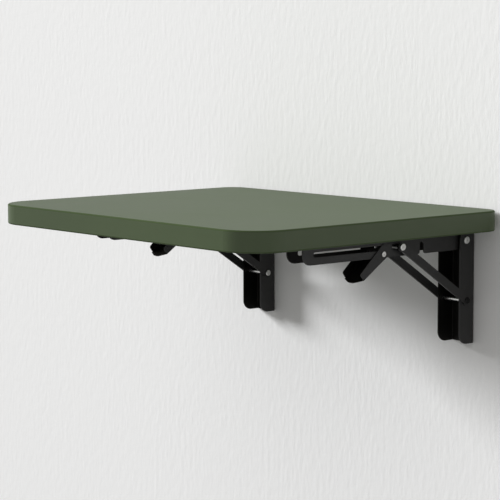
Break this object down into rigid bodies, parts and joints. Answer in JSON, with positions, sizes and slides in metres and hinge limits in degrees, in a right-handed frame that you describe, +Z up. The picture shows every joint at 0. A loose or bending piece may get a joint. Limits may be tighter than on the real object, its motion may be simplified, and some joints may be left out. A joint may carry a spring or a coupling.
{
  "type": "wall mounted drop leaf table",
  "caption": "Folding wall table: a rounded rectangular board on steel folding brackets that let it hinge down flat against the wall.",
  "frame": {"origin": "on the wall plane, in the middle of the four wall screw holes", "axes": "+X along the wall to the right, +Y into the wall, +Z up"},
  "size_m": [0.5, 0.4025, 0.1673],
  "materials": {
    "painted_board": "matte green paint",
    "black_steel": "satin black powder coat",
    "bright_steel": "zinc plated"
  },
  "bodies": {
    "wall_plates": {"left_wall_plate": "black_steel", "left_hinge_pin": "bright_steel", "left_hinge_washers": "bright_steel", "left_brace_foot_pin": "bright_steel", "right_wall_plate": "black_steel", "right_hinge_pin": "bright_steel", "right_hinge_washers": "bright_steel", "right_brace_foot_pin": "bright_steel"},
    "leaf": {"tabletop": "painted_board", "left_arm_channel": "black_steel", "left_lever_pin": "bright_steel", "left_table_screws": "bright_steel", "right_arm_channel": "black_steel", "right_lever_pin": "bright_steel", "right_table_screws": "bright_steel"},
    "left_brace": {"left_brace_left_bar": "black_steel", "left_brace_right_bar": "black_steel", "left_brace_top_rivets": "bright_steel"},
    "left_slide": {"left_slide_pin": "bright_steel"},
    "left_lever": {"left_release_lever": "black_steel", "left_release_spring": "bright_steel"},
    "right_brace": {"right_brace_left_bar": "black_steel", "right_brace_right_bar": "black_steel", "right_brace_top_rivets": "bright_steel"},
    "right_slide": {"right_slide_pin": "bright_steel"},
    "right_lever": {"right_release_lever": "black_steel", "right_release_spring": "bright_steel"}
  },
  "joints": [
    {"name": "leaf_fold", "type": "hinge", "parent": "wall_plates", "child": "leaf", "pos_m": [0, -0.0153, 0.06], "axis": [1, 0, 0], "range_deg": [0, 90]},
    {"name": "left_brace_swing", "type": "hinge", "parent": "wall_plates", "child": "left_brace", "pos_m": [-0.1844, -0.0153, -0.0142], "axis": [1, 0, 0], "range_deg": [0, 123.4]},
    {"name": "left_pin_slide", "type": "slide", "parent": "leaf", "child": "left_slide", "axis": [0, -1, 0], "range_m": [0, 0.0965]},
    {"name": "left_lever_press", "type": "hinge", "parent": "leaf", "child": "left_lever", "pos_m": [-0.1844, -0.1543, 0.0529], "axis": [-1, 0, 0], "range_deg": [0, 34], "stiffness_Nm_per_rad": 0.3, "springref_deg": -28.65},
    {"name": "right_brace_swing", "type": "hinge", "parent": "wall_plates", "child": "right_brace", "pos_m": [0.1844, -0.0153, -0.0142], "axis": [1, 0, 0], "range_deg": [0, 123.4]},
    {"name": "right_pin_slide", "type": "slide", "parent": "leaf", "child": "right_slide", "axis": [0, -1, 0], "range_m": [0, 0.0965]},
    {"name": "right_lever_press", "type": "hinge", "parent": "leaf", "child": "right_lever", "pos_m": [0.1844, -0.1543, 0.0529], "axis": [-1, 0, 0], "range_deg": [0, 34], "stiffness_Nm_per_rad": 0.3, "springref_deg": -28.65}
  ],
  "couplings": [
    {"joint": "left_brace_swing", "follows": "leaf_fold", "ratio": 1.3704},
    {"joint": "left_pin_slide", "follows": "leaf_fold", "m_per_rad": 0.061381},
    {"joint": "right_brace_swing", "follows": "leaf_fold", "ratio": 1.3704},
    {"joint": "right_pin_slide", "follows": "leaf_fold", "m_per_rad": 0.061381}
  ]
}
